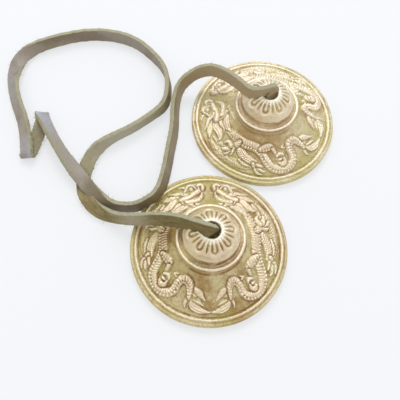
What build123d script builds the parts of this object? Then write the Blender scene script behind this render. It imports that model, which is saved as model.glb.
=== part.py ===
from build123d import *
import math
import os

# Finger cymbals: two equal cast bronze cymbals joined by one leather strap,
# whose two ends go down through the holes in the domes and are knotted inside.
# Millimetres, +Z up.  The cymbals stand on their rims on z = 0, side by side
# along Y, and the origin is midway between them.  The strap lies to -X.

# ---------------------------------------------------------------------------
# Driving dimensions
# ---------------------------------------------------------------------------
RIM_RADIUS = 32.5             # a 65 mm cymbal
RIM_GAP = 1.0                 # between the two rims as they stand
CYMBAL_HEIGHT = 24.6
HOLE_RADIUS = 3.2             # the strap's hole through the crown
LIP_BLEND = 0.7               # rounding of the hole's upper mouth

CROWN_UNDERSIDE_Z = 22.0      # inside of the dome, beside the hole
DOME_RADIUS = 11.8            # foot of the dome, inside the ring step
DOME_FOOT_Z = 16.9
STEP_RADIUS = 13.9            # turned step round the dome
STEP_TOP_Z = 15.4
FLANGE_TOP_Z = 12.4           # where the decorated flange meets the step
FLANGE_RADIUS = 28.8          # where the flange meets the rim band
FLANGE_FOOT_Z = 3.9
BAND_Z = 3.3                  # the flat rim band outside the flange
BEAD_HEIGHT = 0.6             # raised rings beside the dome and on the rim band

REST_INNER_RADIUS = 28.6      # flat ring that the cymbal rests on and rings with
REST_OUTER_RADIUS = 31.6
EDGE_BLEND = 0.9              # rounding of the rim's outer edge

STRAP_RADIUS = 2.0            # round section as large as the 6 x 2.1 mm strap
KNOT_RADIUS = 5.5             # a knot tied in the strap's end
KNOT_Z = 16.0                 # centre of the knot, clear of the crown
KNOT_GAP = 0.5                # between the knot and the strap's free part

CYMBAL_SPACING = 2 * RIM_RADIUS + RIM_GAP
FRONT_Y = -CYMBAL_SPACING / 2
BACK_Y = CYMBAL_SPACING / 2

# ---------------------------------------------------------------------------
# The strap's route, from the back hole to the front hole
# ---------------------------------------------------------------------------
EXIT_Z = KNOT_Z + KNOT_RADIUS + KNOT_GAP
EXIT_X = 0.6                  # the strap leans on the hole's far side
STRAP_ROUTE = [
    # up out of the back hole and over the dome's shoulder
    (EXIT_X, BACK_Y, EXIT_Z), (EXIT_X, BACK_Y, 25.1), (-1.4, 32.6, 27.6), (-4.6, 31.6, 28.2),
    (-10, 31, 25.5), (-17, 34, 21.5), (-26, 39, 17.5),
    # over the back rim and down to the table
    (-35.5, 40, 12.5), (-42, 32.5, 7), (-40.5, 22.5, 3.4), (-36.5, 12, 2.6), (-33, 2, 2.6),
    # round beside the front rim
    (-31.5, -8, 2.6), (-32.5, -18.5, 2.6), (-37, -28, 2.6), (-46, -32.5, 3.6),
    # over the strap's other end in a long low hump
    (-56.5, -30, 6.8), (-67, -24, 6.8), (-75, -18.5, 6.8), (-81, -15, 6.8),
    # two old storage folds, down and back up
    (-86.5, -10.8, 7.0), (-91, -11.4, 5.5), (-93.6, -14.8, 3.4), (-92.6, -19, 2.4),
    (-89.8, -24.5, 2.2), (-90, -29.2, 3.8), (-93.4, -31, 7.0), (-96.8, -28.2, 9.0),
    # the wide loop
    (-97.5, -20.5, 7.6), (-99, -11.5, 4.6), (-105.5, -3.5, 2.6), (-112, 5.5, 2.6),
    (-114.5, 16.5, 2.6), (-110.5, 29, 2.6), (-100.5, 39.5, 2.6), (-87.5, 46.5, 2.6),
    (-72.5, 48.8, 2.6), (-59, 44.5, 2.6), (-49.5, 35, 2.6), (-46, 24, 2.6),
    # back across the loop and under the hump
    (-48.5, 14, 2.6), (-55.5, 2.6, 2.6), (-61.5, -7.5, 2.4), (-64.5, -18.5, 2.2),
    (-61, -30, 2.2), (-52.5, -37, 2.8),
    # up over the front rim and into the front hole
    (-42, -39, 5.2), (-31, -37.5, 10), (-19.5, -35, 17.5), (-10.5, -33.9, 25),
    (-4.8, -33.4, 28.2), (-1.4, -33.1, 27.6), (EXIT_X, FRONT_Y, 25.1), (EXIT_X, FRONT_Y, EXIT_Z),
]
ARC_SHARE = 0.45              # share of the shorter run that each arc takes up


def cymbal_outline():
    """Half section of one cymbal in the XZ plane, from the hole to the rim and back inside."""
    throat_low = (HOLE_RADIUS, CROWN_UNDERSIDE_Z)
    throat_top = (HOLE_RADIUS, CYMBAL_HEIGHT - LIP_BLEND)
    lip = (HOLE_RADIUS + LIP_BLEND, CYMBAL_HEIGHT)
    dome_foot = (DOME_RADIUS, DOME_FOOT_Z)
    step_groove = (DOME_RADIUS + 0.4, STEP_TOP_Z)
    step_edge = (STEP_RADIUS - 0.3, STEP_TOP_Z)
    step_foot = (STEP_RADIUS, FLANGE_TOP_Z)
    flange_foot = (FLANGE_RADIUS, FLANGE_FOOT_Z)
    band_groove = (FLANGE_RADIUS + 0.4, BAND_Z)
    band_edge = (FLANGE_RADIUS + 2.2, BAND_Z)
    rim_top = (RIM_RADIUS - EDGE_BLEND, BAND_Z)
    rim_side_top = (RIM_RADIUS, BAND_Z - EDGE_BLEND)
    rim_side_low = (RIM_RADIUS, EDGE_BLEND)
    rest_outer = (REST_OUTER_RADIUS, 0)
    rest_inner = (REST_INNER_RADIUS, 0)
    hollow_top = (13.4, 9.3)
    dome_mouth = (10.6, 11.4)

    def bead(start, end):
        middle = (start[0] + end[0]) / 2
        return ThreePointArc(start, (middle, start[1] + BEAD_HEIGHT), end)

    return [
        Line(throat_low, throat_top),
        RadiusArc(throat_top, lip, LIP_BLEND),
        ThreePointArc(lip, (8.6, 21.9), dome_foot),
        Line(dome_foot, step_groove),
        bead(step_groove, step_edge),
        Line(step_edge, step_foot),
        ThreePointArc(step_foot, (21.3, 7.7), flange_foot),
        Line(flange_foot, band_groove),
        bead(band_groove, band_edge),
        Line(band_edge, rim_top),
        RadiusArc(rim_top, rim_side_top, EDGE_BLEND),
        Line(rim_side_top, rim_side_low),
        RadiusArc(rim_side_low, rest_outer, EDGE_BLEND),
        Line(rest_outer, rest_inner),
        ThreePointArc(rest_inner, (21, 4.5), hollow_top),
        Line(hollow_top, dome_mouth),
        ThreePointArc(dome_mouth, (8.9, 17.2), throat_low),
    ]


def make_cymbal(y):
    """One solid casting of revolution, standing on its rim at the given Y."""
    half_section = Plane.XZ * make_face(Curve() + cymbal_outline())
    return Pos(0, y, 0) * revolve(half_section, axis=Axis.Z)


def make_knot(y):
    """The plain outer shape of the knot inside a dome."""
    return Pos(0, y, KNOT_Z) * Sphere(KNOT_RADIUS)


def arc_radii(route):
    """The largest arc that each corner of the route has room for."""
    points = [Vector(*point) for point in route]
    radii = []
    for before, corner, after in zip(points, points[1:], points[2:]):
        run_in = corner - before
        run_out = after - corner
        half_turn = math.radians(run_in.get_angle(run_out)) / 2
        radii.append(ARC_SHARE * min(run_in.length, run_out.length) / math.tan(half_turn))
    return radii


def make_strap():
    """The strap as a round tube along straight runs and tangent arcs."""
    radii = arc_radii(STRAP_ROUTE)
    path = FilletPolyline(*STRAP_ROUTE, radius=radii)
    section = Plane(origin=path @ 0, z_dir=path % 0) * Circle(STRAP_RADIUS)
    tube = sweep(section, path=path)
    expected = math.pi * STRAP_RADIUS ** 2 * path.length
    print("strap length %.1f, volume %.1f, section x length %.1f" % (path.length, tube.volume, expected))
    print("arc radii", " ".join("%.1f" % radius for radius in radii))
    return tube


NODES = {
    "front_cymbal": make_cymbal(FRONT_Y),
    "back_cymbal": make_cymbal(BACK_Y),
    "front_knot": make_knot(FRONT_Y),
    "back_knot": make_knot(BACK_Y),
    "strap": make_strap(),
}

os.makedirs("parts", exist_ok=True)
for node, shape in NODES.items():
    export_step(shape, "parts/%s.step" % node)
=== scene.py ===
import cmath
import math

import bpy
import numpy as np
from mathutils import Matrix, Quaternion, Vector


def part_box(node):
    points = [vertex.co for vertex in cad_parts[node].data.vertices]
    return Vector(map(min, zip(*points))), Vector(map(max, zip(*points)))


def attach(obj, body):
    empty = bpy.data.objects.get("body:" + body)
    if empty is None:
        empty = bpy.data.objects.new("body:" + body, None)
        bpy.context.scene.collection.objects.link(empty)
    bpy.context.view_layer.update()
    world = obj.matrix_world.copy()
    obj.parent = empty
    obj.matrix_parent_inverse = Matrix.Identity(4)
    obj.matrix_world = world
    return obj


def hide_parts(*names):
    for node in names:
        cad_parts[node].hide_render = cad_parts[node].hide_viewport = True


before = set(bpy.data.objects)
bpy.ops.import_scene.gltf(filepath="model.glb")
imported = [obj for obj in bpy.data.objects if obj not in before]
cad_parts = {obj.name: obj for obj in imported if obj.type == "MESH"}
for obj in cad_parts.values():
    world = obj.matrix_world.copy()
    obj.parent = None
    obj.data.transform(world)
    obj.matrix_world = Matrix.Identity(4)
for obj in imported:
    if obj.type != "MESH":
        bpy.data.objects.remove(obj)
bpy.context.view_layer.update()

MM = 0.001

# ---------------------------------------------------------------------------
# The strap
# ---------------------------------------------------------------------------
STRAP_WIDTH = 6.0 * MM
STRAP_THICKNESS = 2.1 * MM
# Where the strap is painted pale, partly as leather rubbed pale and partly as painted sheen where the grain
# catches the light: the place, how far along the strap it reaches, in mm, and how much.
WEAR_AND_SHEEN_PLACES = (
    ((-92.5, -4.8, 3.7), 10, 0.85),     # the two folds
    ((-88.9, -25.3, 2.6), 9, 0.6),
    ((-112, 4, 3), 22, 0.35),           # and the loop beside them
    ((-80, 49, 3), 30, 0.2),
    ((-70, -21, 4.5), 25, 0.2),
    ((-56, 0, 3), 23, 1),               # the run that crosses under
    ((-32, -35.5, 8), 8, 0.7),
)
CORNER = 0.3 * MM             # softening of the four cut edges
STEPS = 14                    # samples between two control points
RAGGED = 0.09 * MM            # unevenness of the cut edges
NICK_SPACING = 0.8 * MM
FIBRES = 320
FIBRE_RADIUS = 0.1 * MM
FIBRE_LENGTHS = (0.5, 1.6)    # mm
FIBRE_TAPER = 0.8             # of the radius, lost by the tip
FIBRE_TURN = 2.1              # radians between a fibre's three sides
KNOT_SPREAD = 1.05 * MM       # an overhand knot's path is three times this wide from its middle
KNOT_RISE = 1.3 * MM
KNOT_SCALE = 0.72             # of the strap's section, pulled tight in the knot
KNOT_GAP = 0.35               # radians left open between the knot's two ends
KNOT_PLACES = 22
KNOT_STEPS = 6                # samples between two of them
chance = np.random.default_rng(7)

# Control points in millimetres, each with the direction of the strap's width
# there, from the back cymbal's hole to the front one's.
STRAP = [
    # up out of the back hole and down over the dome's shoulder
    ((0.6, 33, 21), (0.6, 0.8, 0)),
    ((0.8, 34.2, 24.8), (0.6, 0.8, 0.1)),
    ((-0.6, 33.4, 26.6), (0.3, 0.1, 0.95)),
    ((-2.9, 30.4, 26.7), (0.05, 0.05, 1)),
    ((-7.4, 28.9, 25.1), (0.08, 0.02, 1)),
    ((-16.5, 35, 21.8), (0.06, 0.1, 0.99)),
    ((-27, 40, 17.2), (0.03, 0.1, 0.99)),
    # over the back rim and down to the table
    ((-34, 39.5, 12.8), (-0.05, 0.08, 1)),
    ((-39, 35.5, 8.8), (-0.2, 0.1, 0.97)),
    ((-41, 31, 5.4), (-0.3, 0.05, 0.95)),
    ((-39.5, 23, 3.4), (-0.42, 0, 0.91)),
    ((-35, 12.5, 3.2), (-0.42, 0, 0.91)),
    ((-32.5, 1.5, 3.2), (-0.42, 0, 0.91)),
    # up onto the front rim and off it again
    ((-30.5, -6, 3.6), (-0.42, 0, 0.91)),
    ((-28.5, -14.5, 5.8), (-0.42, 0, 0.91)),
    ((-28.3, -21, 6.6), (-0.3, 0.1, 0.95)),
    ((-31, -25.5, 5.2), (-0.2, 0.15, 0.97)),
    ((-36.5, -30.2, 3.4), (0, 0.22, 0.97)),
    ((-45, -32.6, 3.2), (0, 0.3, 0.95)),
    ((-52.5, -30.8, 3), (0.33, 0.85, 0.42)),
    # flat over the strap's other end
    ((-60.5, -26.8, 3.3), (0.5, 0.84, 0.1)),
    ((-68, -22.8, 4.5), (0.45, 0.7, -0.5)),
    ((-75.5, -18.2, 5), (0.36, 0.54, -0.76)),
    ((-83.5, -12.4, 5), (0.34, 0.5, -0.8)),
    # an old storage fold, back and down
    ((-89.5, -7.4, 5), (0.42, 0.52, -0.74)),
    ((-91.9, -5.6, 4.9), (0.6, 0.55, -0.58)),
    ((-92.5, -4.8, 4.3), (0.75, 0.5, -0.42)),
    ((-92.5, -4.8, 3.1), (0.8, 0.4, -0.42)),
    ((-91.7, -6, 2.5), (0.8, 0.35, -0.45)),
    ((-90.8, -8.5, 2.4), (0.8, 0.25, -0.5)),
    ((-89.9, -13.7, 2.2), (0.85, 0.08, -0.5)),
    ((-89.3, -20, 1.5), (0.95, 0.1, -0.15)),
    # a second one, back over itself
    ((-88.9, -24.5, 1.4), (0.93, 0.26, 0.15)),
    ((-88.9, -25.3, 2), (0.86, 0.31, 0.35)),
    ((-88.9, -25.3, 3.2), (0.8, 0.31, 0.45)),
    ((-89.3, -24.5, 3.8), (0.78, 0.33, 0.5)),
    ((-90.4, -22.3, 3.9), (0.77, 0.33, 0.52)),
    ((-93, -18.5, 3.8), (0.74, 0.3, 0.58)),
    ((-98.5, -11, 3.4), (0.66, 0.3, 0.68)),
    ((-106.5, -3.5, 3), (0.6, 0.35, 0.72)),
    ((-113.5, 5, 3), (0.72, 0.2, 0.66)),
    ((-116.7, 13, 2.2), (0.97, 0, 0.15)),
    # the wide loop, on its edge
    ((-117, 20.5, 2.5), (0.75, -0.1, -0.65)),
    ((-112.5, 28.5, 3), (0.2, -0.15, -0.97)),
    ((-101, 39.5, 3), (0, -0.22, -0.97)),
    ((-91.5, 45.5, 3), (0, -0.22, -0.97)),
    ((-80.5, 49, 3), (0, -0.22, -0.97)),
    ((-70, 49, 3), (0, -0.15, -0.98)),
    ((-61, 45.5, 3), (0, -0.1, -0.99)),
    ((-53.5, 41.5, 3.1), (0, 0, -1)),
    ((-48, 35.5, 3.2), (0.15, 0.05, -0.98)),
    ((-44.7, 27.5, 3.1), (0.25, 0, -0.97)),
    ((-44, 21.5, 3.1), (0.2, -0.05, -0.97)),
    ((-46.6, 15.5, 3.1), (0.03, 0.05, -1)),
    # leaning over across the loop, then flat under the other run
    ((-52.5, 5, 3), (0, 0.08, -1)),
    ((-59.3, -4, 3.1), (0.08, 0.02, -1)),
    ((-62.8, -11, 2.7), (0.6, -0.15, -0.78)),
    ((-63.5, -17, 1.5), (0.97, 0, -0.2)),
    ((-62.5, -23.5, 1.1), (0.97, 0.2, 0)),
    ((-60, -29, 1.1), (0.8, 0.6, 0)),
    ((-56.5, -33, 1.2), (0.5, 0.85, 0)),
    ((-49.5, -36.5, 1.7), (0.1, 0.8, 0.6)),
    # up over the front rim and down into the front hole
    ((-40.5, -37, 3.6), (0, 0.25, 0.97)),
    ((-32.5, -35.5, 7.6), (0, 0.3, 0.95)),
    ((-23.5, -33.5, 13.2), (0, 0.33, 0.94)),
    ((-14.5, -33.2, 20), (0, 0.3, 0.95)),
    ((-8.2, -33.8, 25), (0, 0.22, 0.97)),
    ((-3.8, -34.1, 26.7), (0.05, 0.22, 0.97)),
    ((-1, -34.3, 26.3), (0.3, 0.55, 0.78)),
    ((0.2, -33.7, 24.6), (0.5, 0.83, 0.25)),
    ((0.1, -33.3, 21), (0.5, 0.86, 0)),
]


def smooth_line(places, steps):
    """Points read from the NURBS spline that has these places as its control points."""
    curve = bpy.data.curves.new("route", "CURVE")
    curve.dimensions = "3D"
    spline = curve.splines.new("NURBS")
    spline.points.add(len(places) - 1)
    for point, place in zip(spline.points, places):
        point.co = (*place, 1.0)
    spline.order_u = 3
    spline.use_endpoint_u = True
    spline.resolution_u = steps
    carrier = bpy.data.objects.new("route", curve)
    mesh = bpy.data.meshes.new_from_object(carrier)
    line = np.array([v.co for v in mesh.vertices], float)
    bpy.data.objects.remove(carrier)
    bpy.data.curves.remove(curve)
    bpy.data.meshes.remove(mesh)
    return line


def unit(vectors):
    """The vectors brought to length 1."""
    return vectors / np.linalg.norm(vectors, axis=-1, keepdims=True)


def new_piece(name, points, faces, material):
    """A smooth-shaded mesh object from arrays of points and faces."""
    mesh = bpy.data.meshes.new(name)
    mesh.from_pydata(np.asarray(points).tolist(), [], [tuple(f) for f in faces])
    mesh.polygons.foreach_set("use_smooth", [True] * len(mesh.polygons))
    mesh.materials.append(material)
    mesh.validate()
    mesh.update()
    piece = bpy.data.objects.new(name, mesh)
    bpy.context.scene.collection.objects.link(piece)
    return piece


def add_value(piece, name, values):
    """Stores one number per point, for the piece's material to read."""
    attribute = piece.data.attributes.new(name, "FLOAT", "POINT")
    attribute.data.foreach_set("value", np.asarray(values, np.float32))


def strap_section():
    """The strap's cross-section: places across and through it, and 1 where it is a cut edge."""
    across, through, cut = [], [], []
    half_width, half_thick = STRAP_WIDTH / 2, STRAP_THICKNESS / 2
    flat, side = half_width - CORNER, half_thick - CORNER
    face_points = 10
    for sign in (1, -1):
        for i in range(face_points):
            across.append(sign * flat * (2 * i / (face_points - 1) - 1))
            through.append(sign * half_thick)
            cut.append(0)
        for k in (1, 2):
            a = math.pi / 2 * k / 3
            across.append(sign * (flat + CORNER * math.sin(a)))
            through.append(sign * (side + CORNER * math.cos(a)))
            cut.append(k / 3)
        for i in range(4):
            across.append(sign * half_width)
            through.append(sign * side * (1 - 2 * i / 3))
            cut.append(1)
        for k in (2, 1):
            a = math.pi / 2 * k / 3
            across.append(sign * (flat + CORNER * math.sin(a)))
            through.append(-sign * (side + CORNER * math.cos(a)))
            cut.append(k / 3)
    return np.array(across), np.array(through), np.array(cut)


def swept(name, line, width, scale, material):
    """The strap's section, scaled, carried along a line with its width in the given directions.

    The cut edges stand in or out a little, along the whole line."""
    along = unit(np.gradient(line, axis=0))
    width = unit(width - (width * along).sum(1, keepdims=True) * along)
    grain = np.cross(width, along)
    across, through, cut = strap_section()
    steps = np.linalg.norm(np.diff(line, axis=0), axis=1)
    far = np.concatenate([[0], np.cumsum(steps)])
    nicks = np.arange(0, far[-1] + 2 * NICK_SPACING, NICK_SPACING)
    ragged = np.interp(far, nicks, chance.normal(0, RAGGED, len(nicks)))
    wide = scale * across[None] + np.where(cut > 0.3, np.sign(across), 0)[None] * ragged[:, None]
    deep = np.broadcast_to(scale * through[None], wide.shape)
    rings = line[:, None] + wide[:, :, None] * width[:, None] + deep[:, :, None] * grain[:, None]
    count, size = len(line), len(across)
    index = np.arange(count * size).reshape(count, size)
    turned = np.roll(index, -1, axis=1)
    walls = np.stack([index[:-1], turned[:-1], turned[1:], index[1:]], -1).reshape(-1, 4)
    faces = [tuple(f) for f in walls] + [tuple(index[0][::-1]), tuple(index[-1])]
    piece = new_piece(name, rings.reshape(-1, 3), faces, material)
    add_value(piece, "along", np.repeat(far, size))
    add_value(piece, "across", np.tile(across, count))
    add_value(piece, "grain", np.tile(through / (STRAP_THICKNESS / 2), count))
    add_value(piece, "cut", np.tile(cut, count))
    return piece, rings


def make_strap(material):
    """The strap from hole to hole, lifted wherever its lower side would go into the table."""
    line = smooth_line([Vector(place) * MM for place, _ in STRAP], STEPS)
    width = smooth_line([w for _, w in STRAP], STEPS)
    along = unit(np.gradient(line, axis=0))
    width = unit(width - (width * along).sum(1, keepdims=True) * along)
    grain = np.cross(width, along)
    reach = np.abs(width[:, 2]) * STRAP_WIDTH / 2 + np.abs(grain[:, 2]) * STRAP_THICKNESS / 2
    short = np.maximum(reach + 0.1 * MM - line[:, 2], 0)
    lift = np.array([short[max(i - STEPS, 0):i + STEPS + 1].max() for i in range(len(line))])
    line[:, 2] += np.convolve(lift, np.full(STEPS, 1 / STEPS), "same")
    strap, rings = swept("leather_strap", line, width, 1, material)
    steps = np.linalg.norm(np.diff(line, axis=0), axis=1)
    far = np.concatenate([[0], np.cumsum(steps)])
    # Painted sheen, with rubbing: how pale the strap is painted at each point along it.
    wear_and_sheen = np.zeros(len(line))
    for place, reach, strength in WEAR_AND_SHEEN_PLACES:
        middle = np.linalg.norm(line - np.array(place) * MM, axis=1).argmin()
        wear_and_sheen += strength * np.exp(-(((far - far[middle]) / (reach * MM)) ** 2))
    add_value(strap, "wear_and_sheen", np.repeat(wear_and_sheen, rings.shape[1]))
    return strap, line, rings


def make_fibres(rings, material):
    """Loose fibres that stand out from the strap's cut edges."""
    points, faces = [], []
    cut = strap_section()[2]
    edge = np.flatnonzero(cut == 1)
    bare = len(rings) // 12             # at each end, round the holes
    for _ in range(FIBRES):
        i = chance.integers(bare, len(rings) - bare)
        k = chance.choice(edge)
        root = rings[i, k]
        out = unit(root - rings[i].mean(0))
        ahead = unit(rings[i + 1, k] - root)
        lean = unit(out + ahead * chance.normal(0, 0.8) + chance.normal(0, 0.3, 3))
        curl = chance.normal(0, 0.5, 3)
        length = chance.uniform(*FIBRE_LENGTHS) * MM
        across = unit(np.cross(lean, ahead))
        first = len(points)
        for t in (0, 0.5, 1):
            middle = root + length * (t * lean + t * t * curl)
            for turn in range(3):
                spin = across * math.cos(turn * FIBRE_TURN) + ahead * math.sin(turn * FIBRE_TURN)
                points.append(middle + spin * FIBRE_RADIUS * (1 - FIBRE_TAPER * t))
        faces.append((first, first + 1, first + 2))
        for t in (0, 3):
            for turn in range(3):
                a, b = first + t + turn, first + t + (turn + 1) % 3
                faces.append((b, a, a + 3, b + 3))
        faces.append((first + 8, first + 7, first + 6))
    points = np.array(points)
    points[:, 2] = np.maximum(points[:, 2], 0.05 * MM)
    fibres = new_piece("leather_fibres", points, faces, material)
    for name, value in (("along", 0), ("across", 0), ("grain", 0), ("cut", 1)):
        add_value(fibres, name, np.full(len(points), value))
    return fibres


def make_knot(node, start, side, material):
    """The overhand knot under a dome: down from the hole, round itself three times, and a short tail."""
    low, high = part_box(node)
    centre = np.array((low + high) / 2)
    first = math.pi / 3
    turns = np.linspace(first + KNOT_GAP, first + 2 * math.pi - KNOT_GAP, KNOT_PLACES)
    x = np.sin(turns) + 2 * np.sin(2 * turns)
    y = np.cos(turns) - 2 * np.cos(2 * turns)
    ring = np.stack([x * KNOT_SPREAD, y * KNOT_SPREAD, -np.sin(3 * turns) * KNOT_RISE], 1) + centre
    down = [np.array(start), np.array(start) - (0, 0, 1.5 * MM), centre + np.array((1, 1.5, 3.4)) * MM]
    tail = [ring[-1] + np.array((-0.5, 0.5, -1.8)) * MM, ring[-1] + np.array((-1, 1.2, -5)) * MM]
    places = [Vector(p) for p in [*down, *ring, *tail]]
    widths = [side, side, side] + [(0.2, 0, 1)] * len(ring) + [(0.7, 0.2, 0.4), (1, 0.4, 0)]
    line, width = smooth_line(places, KNOT_STEPS), smooth_line(widths, KNOT_STEPS)
    knot, _ = swept(node + "_tied", line, width, KNOT_SCALE, material)
    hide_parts(node)
    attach(knot, node)
    return knot


# ---------------------------------------------------------------------------
# The cymbals
# ---------------------------------------------------------------------------
HEAD_AXIS = {"front_cymbal": 113, "back_cymbal": 180}   # where the two dragons' heads meet, degrees
TURNED_SEGMENTS = 360         # round the dome, its step and the rim
RELIEF_SEGMENTS = 720         # round the decorated flange
UNDERSIDE_SEGMENTS = 180
FLANGE_RINGS = 80
FLANGE_INNER = (13.9, 12.4)   # (radius, height) in mm, as are all places of the section
FLANGE_OUTER = (28.8, 3.9)
PETALS = 8
PETAL_TURN = 7                # from the heads' axis to a petal's middle
PETAL_END = 7.7               # the radius where a petal's round end begins
PETAL_SPREAD = 0.135          # of the radius: from a petal's middle line to its channel
DITCH = 0.42                  # width of the groove that each raised form cuts round itself
DITCH_DEPTH = 0.2
PAINTED_SIDE_LIGHT = 0.1                 # painted light: how much brighter everything is made on one side
PAINTED_SIDE_SHADE = 0.08              # painted shade: and how much browner the ground is made on the other
PAINTED_LIGHT_SIDE = {"front_cymbal": 40, "back_cymbal": 160}     # where the painted bright side is, in degrees
STAIN = {"front_cymbal": (195, 17.5), "back_cymbal": (228, 17)}     # a brown spot: degrees, radius
STAIN_DEPTH = 0.3
STAIN_REACH = 3               # mm in and out from its middle
STAIN_SHARPNESS = 12          # of its ends, round the cymbal
HOLLOW_BLUR = 14              # blurs that a form is compared with, to find its hollows
# Turned rings: the radius, the half width, and how brown each is; the ones at 10 and 14.15 are painted shade,
# on the dome's lower slope and under the bead, the other brown ones are lines along the creases, and the
# negative ones are painted highlights.
BROWN_SHADE_AND_HIGHLIGHT_RINGS = (
    # painted highlight round the hole
    (4.7, 0.9, -0.9),
    # painted shade on the dome's lower slope
    (10, 0.7, 0.12),
    (11.3, 0.25, 0.4),
    (12.2, 0.25, 0.25),
    # painted highlight along the bead
    (13.1, 0.3, -0.35),
    # painted shade under the bead
    (14.15, 0.3, 0.5),
    (29, 0.25, 0.35),
    # painted highlight along the rim's bead
    (30.1, 0.4, -0.3),
    (31.2, 0.25, 0.35),
)


def arc(start, middle, end, count):
    """count places along the circle through three places, without the end one."""
    a, b, c = complex(*start), complex(*middle), complex(*end)
    w = (c - a) / (b - a)
    centre = a + (b - a) * (w - abs(w) ** 2) / (2j * w.imag)
    radius = abs(a - centre)
    first = cmath.phase(a - centre)
    sweep = math.remainder(cmath.phase(c - centre) - first, 2 * math.pi)
    turns = [first + sweep * i / count for i in range(count)]
    return [(centre.real + radius * math.cos(t), centre.imag + radius * math.sin(t)) for t in turns]


def straight(start, end, count):
    """count places from start towards end, without the end one."""
    steps = [i / count for i in range(count)]
    return [(start[0] + (end[0] - start[0]) * t, start[1] + (end[1] - start[1]) * t) for t in steps]


def section_parts():
    """The cymbal's closed section in four parts, each with its number of segments and its polish.

    The polish is given at a few radii, from 0 for the dull ground to 1."""
    dome = (
        straight((3.2, 22.0), (3.2, 23.9), 3)
        + arc((3.2, 23.9), (3.4, 24.4), (3.9, 24.6), 4)
        + arc((3.9, 24.6), (7.9, 22.7), (11.1, 18.9), 44)
        + arc((11.1, 18.9), (11.27, 18.4), (11.2, 17.9), 3)
        + arc((11.2, 17.9), (11.4, 16.6), (12.3, 15.6), 7)
        + arc((12.3, 15.6), (13.15, 16.35), (13.95, 15.5), 10)
        + arc((13.95, 15.5), (13.65, 14.0), FLANGE_INNER, 6)
    )
    flange = arc(FLANGE_INNER, (21.3, 7.7), FLANGE_OUTER, FLANGE_RINGS)
    rim = (
        straight(FLANGE_OUTER, (29.2, 3.3), 2)
        + arc((29.2, 3.3), (30.1, 3.9), (31.0, 3.3), 6)
        + straight((31.0, 3.3), (31.6, 3.3), 1)
        + arc((31.6, 3.3), (32.24, 3.04), (32.5, 2.4), 4)
        + straight((32.5, 2.4), (32.5, 0.9), 2)
        + arc((32.5, 0.9), (32.24, 0.26), (31.6, 0), 4)
        + [(31.6, 0)]
    )
    underside = (
        straight((28.6, 0), (28.4, 0.15), 1)
        + arc((28.4, 0.15), (21, 4.5), (13.4, 9.3), 10)
        + straight((13.4, 9.3), (10.6, 11.4), 2)
        + arc((10.6, 11.4), (8.9, 17.2), (3.2, 22.0), 9)
    )
    dome_polish = ((4, 5, 11.1, 11.3, 12.2, 12.5, 13.6, 13.9), (1, 0.65, 0.6, 0.4, 0.4, 0.85, 0.8, 0))
    rim_polish = (
        (28.8, 29.3, 29.8, 30.5, 31, 31.4, 31.8, 32.5),
        (0.05, 0.1, 0.42, 0.42, 0.1, 0.1, 0.4, 0.2),
    )
    return [
        (dome, TURNED_SEGMENTS, dome_polish),
        (flange, RELIEF_SEGMENTS, ((0,), (0,))),
        (rim, TURNED_SEGMENTS, rim_polish),
        (underside, UNDERSIDE_SEGMENTS, ((0,), (0.1,))),
    ]


def blurred(field, times):
    """The field with each value shared with its neighbours, round the cymbal and across it."""
    for _ in range(times):
        field = (np.roll(field, 1, 0) + 2 * field + np.roll(field, -1, 0)) / 4
        wide = np.pad(field, ((0, 0), (1, 1)), "edge")
        field = (wide[:, :-2] + 2 * field + wide[:, 2:]) / 4
    return field


def line_through(places):
    """A smooth line through places given as (degrees from the heads' axis, radius), in the plane."""
    p = np.array(places, float)
    p = np.vstack([2 * p[0] - p[1], p, 2 * p[-1] - p[-2]])
    t = np.linspace(0, 1, 20, endpoint=False)[:, None]
    runs = []
    for a, b, c, d in zip(p, p[1:], p[2:], p[3:]):
        first, second, third = c - a, 2 * a - 5 * b + 4 * c - d, 3 * b - a - 3 * c + d
        runs.append(b + (first * t + second * t**2 + third * t**3) / 2)
    line = np.vstack([*runs, p[-2:-1]])
    turn = np.radians(line[:, 0])
    return np.stack([line[:, 1] * np.cos(turn), line[:, 1] * np.sin(turn)], 1)


def scales(along, side):
    """A ribbed belly, with a groove and then a comb of spines down the outer side."""
    plates = 0.34 * np.cos(2 * math.pi * (along + 0.5 * side) / 1.05)
    spines = 0.48 * np.cos(2 * math.pi * (along - 0.3 * side) / 1.2) - 0.1
    groove = 0.45 * np.exp(-(((side + 0.28) / 0.12) ** 2))
    return np.where(side > -0.28, plates, spines) - groove


def shingles(along, side):
    """Rows of small overlapping scales."""
    row = np.floor(side * 2.5)
    return 0.38 * np.cos(2 * math.pi * (along / 0.95 + row / 2)) + 0.2 * np.cos(5 * math.pi * side)


def feathers(along, side):
    """Barbs that slant away from a middle rib."""
    rib = 0.25 * np.exp(-((side / 0.14) ** 2))
    return rib + 0.34 * np.cos(2 * math.pi * (along - 1.2 * np.abs(side)) / 1.05)


def locks(along, side):
    """Grooves that run the length of a lock of mane or a flame."""
    return 0.34 * np.cos(2 * math.pi * side * 1.6 + 0.5 * np.sin(along)) - 0.05


def plain_skin(along, side):
    """Faint knuckles and creases."""
    return 0.12 * np.cos(2 * math.pi * (along / 1.3 + 0.3 * side)) * np.cos(math.pi * side)


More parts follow.
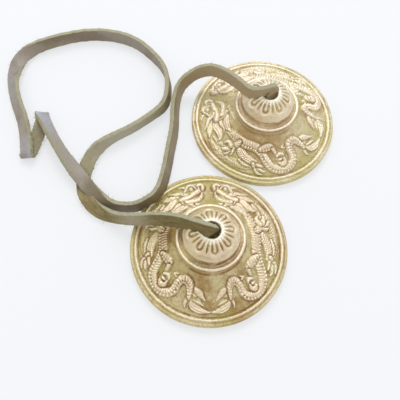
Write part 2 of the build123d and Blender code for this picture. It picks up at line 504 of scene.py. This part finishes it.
def lay(field, points, places, widths, height, skin=plain_skin):
    """Raises one tapered form on the field, along a line, with a groove cut round it."""
    line = line_through(places)
    gaps = (points**2).sum(1)[:, None] + (line**2).sum(1)[None] - 2 * points @ line.T
    near = gaps.argmin(1)
    away = np.sqrt(np.maximum(gaps.min(1), 0))
    heading = unit(np.gradient(line, axis=0))[near]
    offset = points - line[near]
    side = heading[:, 0] * offset[:, 1] - heading[:, 1] * offset[:, 0]
    steps = np.concatenate([[0], np.cumsum(np.linalg.norm(np.diff(line, axis=0), axis=1))])
    half = np.interp(np.linspace(0, len(widths) - 1, len(line)), np.arange(len(widths)), widths)[near]
    share = away / half
    form = height * (1 - np.clip(share, 0, 1) ** 3) ** 0.7
    form += skin(steps[near], side / half) * np.clip(3 * (1 - share), 0, 1)
    moat = np.clip((away - half) / DITCH, 0, 1)
    return np.where(share < 1, form, field * moat - DITCH_DEPTH * (1 - moat))


# Each form of one dragon: its line, the half widths along it, its height and its skin.
# The forms are laid one over the other, so the ones in front come last.
DRAGON = [
    # the fringe of the back, low against the rim
    ([(40, 26.4), (52, 26.9), (66, 27.2), (80, 27), (92, 26.6), (101, 25.8)],
     (0.6, 1.4, 1.7, 1.7, 1.5, 0.7), 0.35, feathers),
    ([(48, 25.2), (56, 24.8), (63, 24)], (0.7, 1.2, 0.7), 0.5, feathers),
    # the shoulder and the scaled limb above the body
    ([(76, 20.8), (82, 22), (89, 23.5), (95, 24), (101, 24.2)], (1.0, 1.9, 2.1, 1.9, 1.1), 0.8, shingles),
    ([(84, 25.2), (90, 26), (96, 26.2)], (0.6, 0.9, 0.4), 0.6, feathers),
    # its paw and claws
    ([(99, 25), (103, 26.1), (107, 26.2)], (1.0, 1.5, 1.2), 1.0),
    ([(102, 27), (105, 28.2), (109, 28.5)], (0.9, 0.8, 0.25), 0.9),
    ([(105, 26.4), (109, 27.2), (111.5, 27.2)], (0.9, 0.7, 0.25), 0.95),
    ([(103, 25), (108, 25.3), (110, 24.8)], (0.8, 0.6, 0.2), 0.85),
    # tail blades
    ([(159, 22.2), (163, 22), (168, 21.6), (174, 22.8)], (0.5, 0.7, 0.7, 0.2), 0.55, locks),
    ([(159, 19.3), (163, 19.9), (168, 20.8), (174.5, 23)], (0.4, 1.1, 1.4, 0.3), 0.85),
    ([(160, 24), (164, 24), (170, 24.2), (174, 25)], (0.6, 0.9, 0.7, 0.2), 0.7, locks),
    ([(160, 24), (164, 25.6), (170, 26.5), (179, 27)], (0.6, 1.5, 1.5, 0.3), 0.9, locks),
    ([(158, 23.4), (156.5, 25.4), (158, 27)], (0.8, 0.9, 0.2), 0.75, locks),
    # the body: along the step, out round the loop, back in and out to the tail
    ([(52, 18.9), (62, 18.7), (72, 18.6), (82, 18.6), (92, 18.5), (100, 18.9), (107, 20.6), (112, 23),
      (117, 25.4), (124, 26.8), (132, 26.9), (139, 25.6), (142, 23.2), (141.5, 20.6), (143.5, 18.6),
      (149, 18), (154.5, 19), (157, 21), (158.5, 23.4)],
     (1.3, 1.8, 2.0, 2.0, 2.0, 2.0, 2.0, 2.0, 2.0, 1.9, 1.9, 1.9, 1.9, 1.8, 1.8, 1.7, 1.6, 1.3, 0.8),
     1.15, scales),
    # hind leg, bent round to the foot inside the loop
    ([(136, 19.2), (132, 18.8), (136, 17.8)], (0.4, 0.6, 0.3), 0.7),
    ([(104, 19), (110, 18.3), (116, 17.9), (121, 18.6)], (1.2, 1.7, 1.6, 1.0), 1.3, scales),
    ([(120.5, 18.8), (123, 20.6), (124.5, 22.8), (124, 24.2)], (1.0, 0.9, 0.8, 0.3), 1.0, shingles),
    ([(124, 21.6), (127, 20.9), (130.5, 21.1), (132.5, 22)], (0.7, 0.8, 0.8, 0.3), 1.05),
    ([(126, 24.4), (129, 25), (131.8, 24.2), (131.6, 22.8)], (0.8, 1.2, 1.2, 0.6), 1.1),
    ([(125.5, 23), (127.5, 23), (129.5, 22.9)], (0.5, 0.7, 0.3), 0.95),
    # fore leg and its claws
    ([(75, 19.4), (73, 21), (70, 22.6)], (1.3, 1.4, 1.4), 1.2, shingles),
    ([(73, 22.6), (74.5, 24.2), (73.5, 25.6)], (0.9, 0.8, 0.2), 0.95),
    ([(70, 24), (70, 25.6), (67.5, 26.6)], (1.1, 0.9, 0.25), 1.0),
    ([(68.5, 23.6), (65.5, 24.9), (62.5, 25.2)], (1.2, 0.9, 0.25), 1.05),
    ([(69, 22.2), (65, 21.6), (62, 22.2), (61, 23.6)], (1.2, 1.0, 0.8, 0.25), 1.1),
    # the mane
    ([(27, 15.7), (35, 15.1), (45, 15)], (0.7, 0.7, 0.25), 0.6, locks),
    ([(30, 24.4), (36, 24.9), (42, 25.9), (47, 26.9)], (0.9, 1.4, 1.3, 0.25), 0.8, locks),
    ([(33, 17), (40, 17.9), (48, 18.5), (57, 18.5)], (0.9, 1.6, 1.6, 0.3), 1.0, locks),
    ([(34, 20.2), (41, 20.6), (48, 20.6), (52, 21)], (0.9, 1.2, 0.9, 0.25), 0.85, locks),
    ([(33, 22.4), (40, 22.7), (47, 22.3), (53, 22.9), (55.5, 24.6)], (0.9, 1.5, 1.6, 1.1, 0.25), 1.05, locks),
    # the head: horns, ear, cheek and beard
    ([(24, 23.4), (28, 25), (33, 26), (38, 27.6)], (1.0, 1.0, 0.8, 0.2), 1.0, locks),
    ([(20, 25.6), (22, 27.2), (27, 28.2)], (0.8, 0.7, 0.2), 0.9),
    ([(9, 26.6), (13, 27.4), (17, 28.3)], (0.7, 0.6, 0.2), 0.8),
    ([(21, 16.8), (17, 16), (13.5, 16.3)], (0.7, 0.6, 0.2), 0.8, locks),
    ([(25, 17.4), (24, 16), (21.5, 15)], (1.1, 0.8, 0.2), 0.9, locks),
    ([(25, 17.6), (29, 19), (31.5, 21)], (1.3, 1.6, 1.2), 1.0, locks),
    # jaws and tongue
    ([(28, 19.3), (20, 18.6), (13, 18.8), (8.6, 20.2), (7.2, 22.2)], (1.2, 1.2, 1.1, 0.9, 0.4), 1.1),
    ([(24, 20.2), (18, 20.2), (13, 21)], (0.4, 0.45, 0.2), 0.5),
    ([(32, 21.8), (26, 21.6), (19, 22), (13, 23), (8.5, 24.4), (6, 25)],
     (1.3, 1.5, 1.3, 1.3, 1.5, 1.2), 1.25),
    # nose, brow and eye
    ([(6, 24.2), (5.4, 25.6), (7.5, 26.6), (10.5, 26.2)], (0.9, 1.1, 1.0, 0.5), 1.4),
    ([(12, 24.6), (14.5, 26.6), (18.5, 27), (21.5, 25.4), (25, 24.4)], (0.4, 0.6, 0.7, 0.6, 0.3), 1.4),
    ([(16.6, 25.1), (17, 25.1)], (0.9, 0.9), 1.45),
    ([(22, 22.4), (26, 22.8), (29.5, 24)], (0.4, 0.6, 0.3), 1.35),
]

# The second dragon is the first one mirrored, with its middle carried a little further round:
# places round it in degrees, and the places of the first dragon that they match.
SECOND_DRAGON = ((0, 58, 104, 127, 138, 151, 162, 180), (0, 60, 100, 119, 132, 146, 160, 180))


def flange_relief():
    """Heights of the two dragons over the flange: one row for each segment from the heads' axis."""
    radii = np.array([r for r, _ in section_parts()[1][0]])
    degrees = np.arange(RELIEF_SEGMENTS // 2 + 1) * 360 / RELIEF_SEGMENTS
    halves = []
    for reached in (degrees, np.interp(degrees, *SECOND_DRAGON)):
        turn, radius = np.meshgrid(np.radians(reached), radii, indexing="ij")
        points = np.stack([radius * np.cos(turn), radius * np.sin(turn)], -1).reshape(-1, 2)
        field = np.zeros(len(points))
        for form in DRAGON:
            field = lay(field, points, *form)
        halves.append(field.reshape(turn.shape))
    return blurred(np.vstack([halves[0], halves[1][-2:0:-1]]), 1)


def dome_relief():
    """Heights of the lotus petals over the dome, in the same order."""
    places = section_parts()[0][0]
    radius = np.array([r if z > 18.5 else 12.5 for r, z in places])[None]
    petal = 360 / PETALS
    degrees = np.arange(TURNED_SEGMENTS)[:, None] * 360 / TURNED_SEGMENTS - PETAL_TURN
    turn = np.radians((degrees + petal / 2) % petal - petal / 2)
    beside, out = np.abs(radius * np.sin(turn)), radius * np.cos(turn)
    away = np.hypot(beside, np.maximum(out - PETAL_END, 0))
    spread = PETAL_SPREAD * np.minimum(out, PETAL_END)
    bud = 0.3 * np.exp(-((away / (0.5 * spread)) ** 2))
    channel = 0.55 * np.exp(-(((away - spread) / 0.38) ** 2))
    border = 0.25 * np.exp(-(((away - 2 * spread) / 0.5) ** 2))
    from_seam = np.radians(petal / 2) - np.abs(turn)
    seam = 0.55 * np.exp(-((radius * from_seam / 0.34) ** 2)) * np.clip((9.4 - radius) / 1.2, 0, 1)
    shown = np.clip((radius - 4.3) / 1.0, 0, 1) * np.clip((11.4 - radius) / 0.5, 0, 1)
    return (bud - channel + border - seam) * shown


def stitched(inner, outer):
    """Faces between two rings of points, where one may have twice as many as the other."""
    m, n = len(inner), len(outer)
    if m == n:
        return [(inner[i], outer[i], outer[(i + 1) % n], inner[(i + 1) % n]) for i in range(n)]
    faces = []
    few, many = (inner, outer) if m < n else (outer, inner)
    for i in range(len(few)):
        a, b = few[i], few[(i + 1) % len(few)]
        c, d, e = many[2 * i], many[2 * i + 1], many[(2 * i + 2) % len(many)]
        trio = [(a, c, d), (a, d, b), (b, d, e)]
        faces += trio if m < n else [face[::-1] for face in trio]
    return faces


def make_cymbal(node, material):
    """One closed mesh for a cymbal, turned so that its dragons' heads meet at its own axis."""
    low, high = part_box(node)
    centre = (low + high) / 2
    reliefs = [dome_relief(), flange_relief(), None, None]
    rings, points, relief_polish_and_painted_light, tarnish_and_painted_light_values = [], [], [], []
    loop = [place for part, _, _ in section_parts() for place in part]
    section = np.array(loop)
    ahead, behind = np.roll(section, -1, 0), np.roll(section, 1, 0)
    outward = unit(np.stack([-(ahead - behind)[:, 1], (ahead - behind)[:, 0]], 1))
    row = 0
    for (places, segments, polish), relief in zip(section_parts(), reliefs):
        if relief is None:
            relief = np.zeros((segments, len(places)))
        tarnish_and_painted_light = blurred(relief, HOLLOW_BLUR) - relief
        radii = np.array([r for r, _ in places])
        if segments != UNDERSIDE_SEGMENTS:
            # Brown lines along the creases, painted shade and painted highlights, in turned rings.
            for ring_radius, ring_width, depth in BROWN_SHADE_AND_HIGHLIGHT_RINGS:
                tarnish_and_painted_light = tarnish_and_painted_light + depth * np.exp(-(((radii - ring_radius) / ring_width) ** 2))
        turn = np.radians(np.arange(segments) * 360 / segments + HEAD_AXIS[node])
        side = np.cos(turn - math.radians(PAINTED_LIGHT_SIDE[node]))[:, None]
        # Painted light: the shine is raised towards one side of the cymbal.
        shine = relief + np.interp(radii, *polish) + PAINTED_SIDE_LIGHT * np.clip(side, 0, 1)
        on_flange = (radii > FLANGE_INNER[0]) & (radii < FLANGE_OUTER[0])
        ground = np.clip(1 - relief / 0.6, 0.15, 1) * on_flange
        # Painted shade: the ground is made browner towards the other side.
        tarnish_and_painted_light = tarnish_and_painted_light + PAINTED_SIDE_SHADE * np.clip(-side, 0, 1) * ground
        stain_turn, stain_radius = STAIN[node]
        around = np.exp(STAIN_SHARPNESS * np.cos(turn - math.radians(stain_turn)) - STAIN_SHARPNESS)
        outward_share = np.exp(-(((radii - stain_radius) / STAIN_REACH) ** 2))
        tarnish_and_painted_light = tarnish_and_painted_light + STAIN_DEPTH * around[:, None] * outward_share
        for k, place in enumerate(places):
            radius = place[0] + relief[:, k] * outward[row, 0]
            height = place[1] + relief[:, k] * outward[row, 1]
            ring = np.stack([radius * np.cos(turn), radius * np.sin(turn), height], 1) * MM
            rings.append(len(points) + np.arange(segments))
            points.extend(ring + (centre.x, centre.y, 0))
            relief_polish_and_painted_light.extend(shine[:, k])
            tarnish_and_painted_light_values.extend(tarnish_and_painted_light[:, k])
            row += 1
    faces = []
    for inner, outer in zip(rings, rings[1:] + rings[:1]):
        faces += stitched(inner, outer)
    cymbal = new_piece(node + "_casting", points, faces, material)
    # The relief attribute also carries the polish and the painted side light; the next one carries patina,
    # stains, painted shade and painted highlights.
    add_value(cymbal, "relief", relief_polish_and_painted_light)
    add_value(cymbal, "tarnish_and_painted_light", tarnish_and_painted_light_values)
    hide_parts(node)
    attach(cymbal, node)
    return cymbal


# ---------------------------------------------------------------------------
# Materials
# ---------------------------------------------------------------------------
def new_material(name):
    """A new material, with its node tree and its shader."""
    material = bpy.data.materials.new(name)
    material.use_nodes = True
    return material, material.node_tree, material.node_tree.nodes["Principled BSDF"]


def add_node(tree, kind, inputs, output=0, **settings):
    """Adds a node, sets it up, and gives one of its outputs; an input is a value or another output."""
    node = tree.nodes.new(kind)
    for key, value in settings.items():
        setattr(node, key, value)
    for key, value in inputs.items():
        if isinstance(value, bpy.types.NodeSocket):
            tree.links.new(value, node.inputs[key])
        else:
            node.inputs[key].default_value = value
    return node.outputs[output]


def stored(tree, name):
    """A number stored on the piece's points."""
    return add_node(tree, "ShaderNodeAttribute", {}, 2, attribute_name=name)


def place_on(tree):
    """The place in the piece's own space."""
    return add_node(tree, "ShaderNodeTexCoord", {}, 3)


def noise(tree, scale, detail=3.0, vector=None, roughness=0.5):
    """Soft random patches; a larger scale makes smaller ones."""
    inputs = {"Scale": scale, "Detail": detail, "Roughness": roughness}
    inputs["Vector"] = place_on(tree) if vector is None else vector
    return add_node(tree, "ShaderNodeTexNoise", inputs)


def between(tree, value, low, high, from_low=0.0, from_high=1.0):
    """The value carried smoothly from one range to another, and held at its ends."""
    inputs = {"Value": value, "From Min": from_low, "From Max": from_high, "To Min": low, "To Max": high}
    return add_node(tree, "ShaderNodeMapRange", inputs, interpolation_type="SMOOTHSTEP")


def maths(tree, operation, a, b):
    """Two numbers brought together, each a value or another node's output."""
    return add_node(tree, "ShaderNodeMath", {0: a, 1: b}, operation=operation)


def colours(tree, share, first, second):
    """From the first colour to the second as share goes from 0 to 1."""
    inputs = {0: share}
    for slot, colour in ((6, first), (7, second)):
        inputs[slot] = (*colour, 1) if isinstance(colour, tuple) else colour
    return add_node(tree, "ShaderNodeMix", inputs, 2, data_type="RGBA")


def bumped(tree, height, strength, depth, before=None):
    """Fine unevenness of the surface, over what an earlier one gives."""
    inputs = {"Height": height, "Strength": strength, "Distance": depth}
    if before is not None:
        inputs["Normal"] = before
    return add_node(tree, "ShaderNodeBump", inputs)


# Bronze colours: two shades of the ground and two of the metal rubbed bright, and one of each other; the
# brown of the hollows also paints shade, and the worn white also paints highlights.
GROUND = ((0.5, 0.43, 0.17), (0.66, 0.58, 0.35))
BRIGHT = ((0.77, 0.68, 0.46), (0.82, 0.69, 0.5))
STAINED = (0.36, 0.22, 0.07)
PITTED = (0.36, 0.23, 0.08)
TARNISH_AND_PAINTED_SHADE = (0.28, 0.15, 0.05)
WORN_WHITE_AND_PAINTED_HIGHLIGHT = (0.94, 0.9, 0.78)


def bronze_material(name, paleness, tarnish):
    """Pale cast bronze: bright on what stands proud, brown in the hollows, stained between, with painted
    shade and painted highlights in turned rings and painted light on one side.

    Paleness lightens every colour, from 0 for none, and tarnish is how brown the hollows and the painted
    shade are."""
    def paler(colour):
        return tuple(c ** (1 - paleness) for c in colour)

    material, tree, shader = new_material(name)
    relief, tarnish_and_painted_light = stored(tree, "relief"), stored(tree, "tarnish_and_painted_light")
    patches = noise(tree, 60, 4)
    stains = noise(tree, 48, 6, roughness=0.7)
    grain = noise(tree, 1000, 4, roughness=0.7)
    ground = colours(tree, between(tree, patches, 0, 1, 0.38, 0.62), *map(paler, GROUND))
    stained = colours(tree, between(tree, stains, 0, 0.8, 0.5, 0.64), ground, paler(STAINED))
    bright = colours(tree, between(tree, patches, 0, 1, 0.4, 0.6), *map(paler, BRIGHT))
    # The relief here also carries the polish and the painted side light, which mixes one side towards the
    # bright colours.
    metal = colours(tree, between(tree, relief, 0, 1, 0.1, 0.75), stained, bright)
    low_places = between(tree, relief, 1, 0.3, 0.3, 0.6)
    pits = maths(tree, "MULTIPLY", between(tree, grain, 0.65, 0, 0.34, 0.5), low_places)
    speckled = colours(tree, pits, metal, paler(PITTED))
    spread = between(tree, noise(tree, 130, 5, roughness=0.6), 0, tarnish, 0.4, 0.58)
    # Brown patina in the hollows and the stains, and painted shade from the turned rings and the darker side.
    deep = maths(tree, "MULTIPLY", between(tree, tarnish_and_painted_light, 0, 1, 0, 0.32), spread)
    shaded = colours(tree, deep, speckled, paler(TARNISH_AND_PAINTED_SHADE))
    # Whitened on the tops of the forms, as wear and painted highlight, and painted highlights along turned
    # rings.
    wear_and_sheen = colours(tree, between(tree, tarnish_and_painted_light, 0.85, 0, -0.5, -0.06), shaded, paler(WORN_WHITE_AND_PAINTED_HIGHLIGHT))
    tree.links.new(wear_and_sheen, shader.inputs["Base Color"])
    dull = between(tree, relief, 0.55, 0.45, 0.0, 0.9)
    uneven = between(tree, grain, -0.08, 0.08, 0.3, 0.7)
    tree.links.new(maths(tree, "ADD", dull, uneven), shader.inputs["Roughness"])
    shader.inputs["Metallic"].default_value = 1.0
    cast = bumped(tree, noise(tree, 600, 3), 0.9, 0.0005)
    tree.links.new(bumped(tree, grain, 0.8, 0.0004, cast), shader.inputs["Normal"])
    return material


# Leather colours: two shades of the grain side, the flesh side and the cut edges, then their changes, among
# them painted sheen on both sides where the strap is also rubbed pale.
GRAIN = ((0.19, 0.145, 0.08), (0.28, 0.23, 0.15))
FLESH = ((0.17, 0.132, 0.05), (0.27, 0.215, 0.095))
CUT_EDGES = ((0.3, 0.275, 0.16), (0.48, 0.47, 0.34))
TAN_GRAIN = (0.42, 0.335, 0.2)      # towards the back hole
# painted sheen: the bluish pale grain where it is rubbed and catches the light
GRAIN_WEAR_AND_SHEEN = (0.48, 0.5, 0.6)
DARK_FLESH = (0.14, 0.11, 0.04)     # towards the front hole
# painted sheen: the pale flesh side where it is rubbed and catches the light
FLESH_WEAR_AND_SHEEN = (0.44, 0.42, 0.32)
DUST = (0.1, 0.08, 0.04)
LINT = (0.42, 0.39, 0.22)


def leather_material():
    """Strap leather: a grey-brown grain side, an olive fuzzy flesh side, pale cut edges, and painted sheen
    where it is rubbed pale.
    """
    material, tree, shader = new_material("strap_leather")
    along, across = stored(tree, "along"), stored(tree, "across")
    side, cut = stored(tree, "grain"), stored(tree, "cut")
    drawn_out = maths(tree, "MULTIPLY", along, 0.25)
    strip = add_node(tree, "ShaderNodeCombineXYZ", {0: drawn_out, 1: across, 2: side})
    streaks = noise(tree, 700, 4, strip)
    patches = noise(tree, 60, 3)
    fuzz = noise(tree, 1500, 4, roughness=0.7)
    grain_side = colours(tree, between(tree, patches, 0, 1, 0.38, 0.6), *GRAIN)
    grain_side = colours(tree, between(tree, along, 0.9, 0, 0.04, 0.08), grain_side, TAN_GRAIN)
    # Painted sheen, with rubbing: both sides are painted pale at the strap's listed places.
    wear_and_sheen = stored(tree, "wear_and_sheen")
    sheen_patches = maths(tree, "MULTIPLY", wear_and_sheen, between(tree, patches, 0.6, 1, 0.38, 0.6))
    sheened_grain = colours(tree, sheen_patches, grain_side, GRAIN_WEAR_AND_SHEEN)
    flesh_side = colours(tree, between(tree, streaks, 0, 1, 0.35, 0.65), *FLESH)
    flesh_side = colours(tree, between(tree, along, 0, 0.5, 0.455, 0.475), flesh_side, DARK_FLESH)
    sheened_flesh = colours(tree, wear_and_sheen, flesh_side, FLESH_WEAR_AND_SHEEN)
    face = colours(tree, between(tree, side, 0, 1, -0.3, 0.3), sheened_flesh, sheened_grain)
    edge = colours(tree, between(tree, streaks, 0, 1, 0.3, 0.7), *CUT_EDGES)
    both = colours(tree, between(tree, cut, 0, 1, 0.2, 0.9), face, edge)
    dusted = colours(tree, between(tree, fuzz, 0.4, 0, 0.3, 0.5), both, DUST)
    smooth_side = maths(tree, "SUBTRACT", side, cut)
    rough_side = between(tree, smooth_side, 1, 0, -0.2, 0.4)
    lint = maths(tree, "MULTIPLY", rough_side, between(tree, fuzz, 0, 0.6, 0.56, 0.7))
    linted = colours(tree, lint, dusted, LINT)
    tree.links.new(linted, shader.inputs["Base Color"])
    rough = between(tree, smooth_side, 0.85, 0.45, -0.5, 0.9)
    tree.links.new(rough, shader.inputs["Roughness"])
    shader.inputs["Specular IOR Level"].default_value = 0.35
    coarse = bumped(tree, streaks, 0.4, 0.0004)
    tree.links.new(bumped(tree, fuzz, 0.6, 0.0003, coarse), shader.inputs["Normal"])
    return material


def floor_material():
    material, _, shader = new_material("floor")
    shader.inputs["Base Color"].default_value = (0.3, 0.305, 0.32, 1)
    shader.inputs["Emission Color"].default_value = (0.965, 0.98, 1, 1)
    shader.inputs["Emission Strength"].default_value = 0.595
    shader.inputs["Roughness"].default_value = 0.9
    shader.inputs["Specular IOR Level"].default_value = 0.1
    return material


# ---------------------------------------------------------------------------
# Camera, floor and light
# ---------------------------------------------------------------------------
TARGET = Vector((-11.7, -14.0, 0.0)) * MM
DISTANCE = 221.8 * MM
AZIMUTH = math.radians(17.1)
ELEVATION = math.radians(67.6)
ROLL = math.radians(5.5)
LENS = 46.1
TENT_FRONT = (0.69, 0.61, 0.49)     # the tent's light towards the camera's side
TENT_BACK = (0.94, 0.96, 0.99)      # and everywhere else
LEFT_LIGHT = 1.05
RIGHT_LIGHT = 1.08
LAMP_PLACE = (-0.25, 0.45, 0.65)
LAMP_SIZE = 0.35
LAMP_POWER = 2.2              # watts
LAMP_COLOUR = (1, 0.99, 0.97)
FLOOR_REACH = 3.0             # from the middle to each side
FLOOR_LEVEL = -0.15 * MM      # just clear of the rims that stand on it


def make_camera():
    data = bpy.data.cameras.new("camera")
    data.lens = LENS
    data.sensor_width = 36
    data.clip_start = 0.01
    camera = bpy.data.objects.new("camera", data)
    away = Vector((
        math.sin(AZIMUTH) * math.cos(ELEVATION),
        -math.cos(AZIMUTH) * math.cos(ELEVATION),
        math.sin(ELEVATION),
    ))
    camera.location = TARGET + away * DISTANCE
    camera.rotation_mode = "QUATERNION"
    turn = Quaternion((0, 0, 1), ROLL)
    camera.rotation_quaternion = (-away).to_track_quat("-Z", "Y") @ turn
    bpy.context.scene.collection.objects.link(camera)
    bpy.context.scene.camera = camera


def make_floor():
    ways = ((-1, -1), (1, -1), (1, 1), (-1, 1))
    corners = [(x * FLOOR_REACH, y * FLOOR_REACH, FLOOR_LEVEL) for x, y in ways]
    floor = new_piece("floor", corners, [(0, 1, 2, 3)], floor_material())


def make_light(name, place, size, power, colour):
    data = bpy.data.lights.new(name, "AREA")
    data.size = size
    data.energy = power
    data.color = colour
    lamp = bpy.data.objects.new(name, data)
    lamp.location = place
    lamp.rotation_mode = "QUATERNION"
    lamp.rotation_quaternion = (TARGET - Vector(place)).to_track_quat("-Z", "Y")
    bpy.context.scene.collection.objects.link(lamp)


def make_lights():
    """A white tent, brightest overhead and behind, with one large soft lamp in it."""
    world = bpy.data.worlds.new("world")
    world.use_nodes = True
    tree = world.node_tree
    background = tree.nodes["Background"]
    way = add_node(tree, "ShaderNodeTexCoord", {})
    parts = tree.nodes.new("ShaderNodeSeparateXYZ")
    tree.links.new(way, parts.inputs[0])
    behind = between(tree, parts.outputs[1], 0, 1, -0.9, 0.5)
    overhead = between(tree, parts.outputs[2], 0, 1, 0.45, 1.0)
    walls = colours(tree, behind, TENT_FRONT, TENT_BACK)
    tree.links.new(colours(tree, overhead, walls, TENT_BACK), background.inputs["Color"])
    sideways = between(tree, parts.outputs[0], LEFT_LIGHT, RIGHT_LIGHT, -0.9, 0.9)
    tree.links.new(sideways, background.inputs["Strength"])
    bpy.context.scene.world = world
    make_light("lamp", LAMP_PLACE, LAMP_SIZE, LAMP_POWER, LAMP_COLOUR)


bpy.context.scene.view_settings.view_transform = "Standard"
make_camera()
make_floor()
make_lights()

leather = leather_material()
strap, strap_line, strap_rings = make_strap(leather)
fibres = make_fibres(strap_rings, leather)
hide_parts("strap")
for piece in (strap, fibres):
    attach(piece, "strap")
front_knot = make_knot("front_knot", strap_line[-1], STRAP[-1][1], leather)
back_knot = make_knot("back_knot", strap_line[0], STRAP[0][1], leather)
# One bronze for both cymbals; the back one's copy is painted paler and less brown, as painted light for the
# brighter light it stands in.
make_cymbal("front_cymbal", bronze_material("front_bronze", paleness=0.06, tarnish=0.85))
make_cymbal("back_cymbal", bronze_material("back_bronze_painted_paler", paleness=0.22, tarnish=0.5))
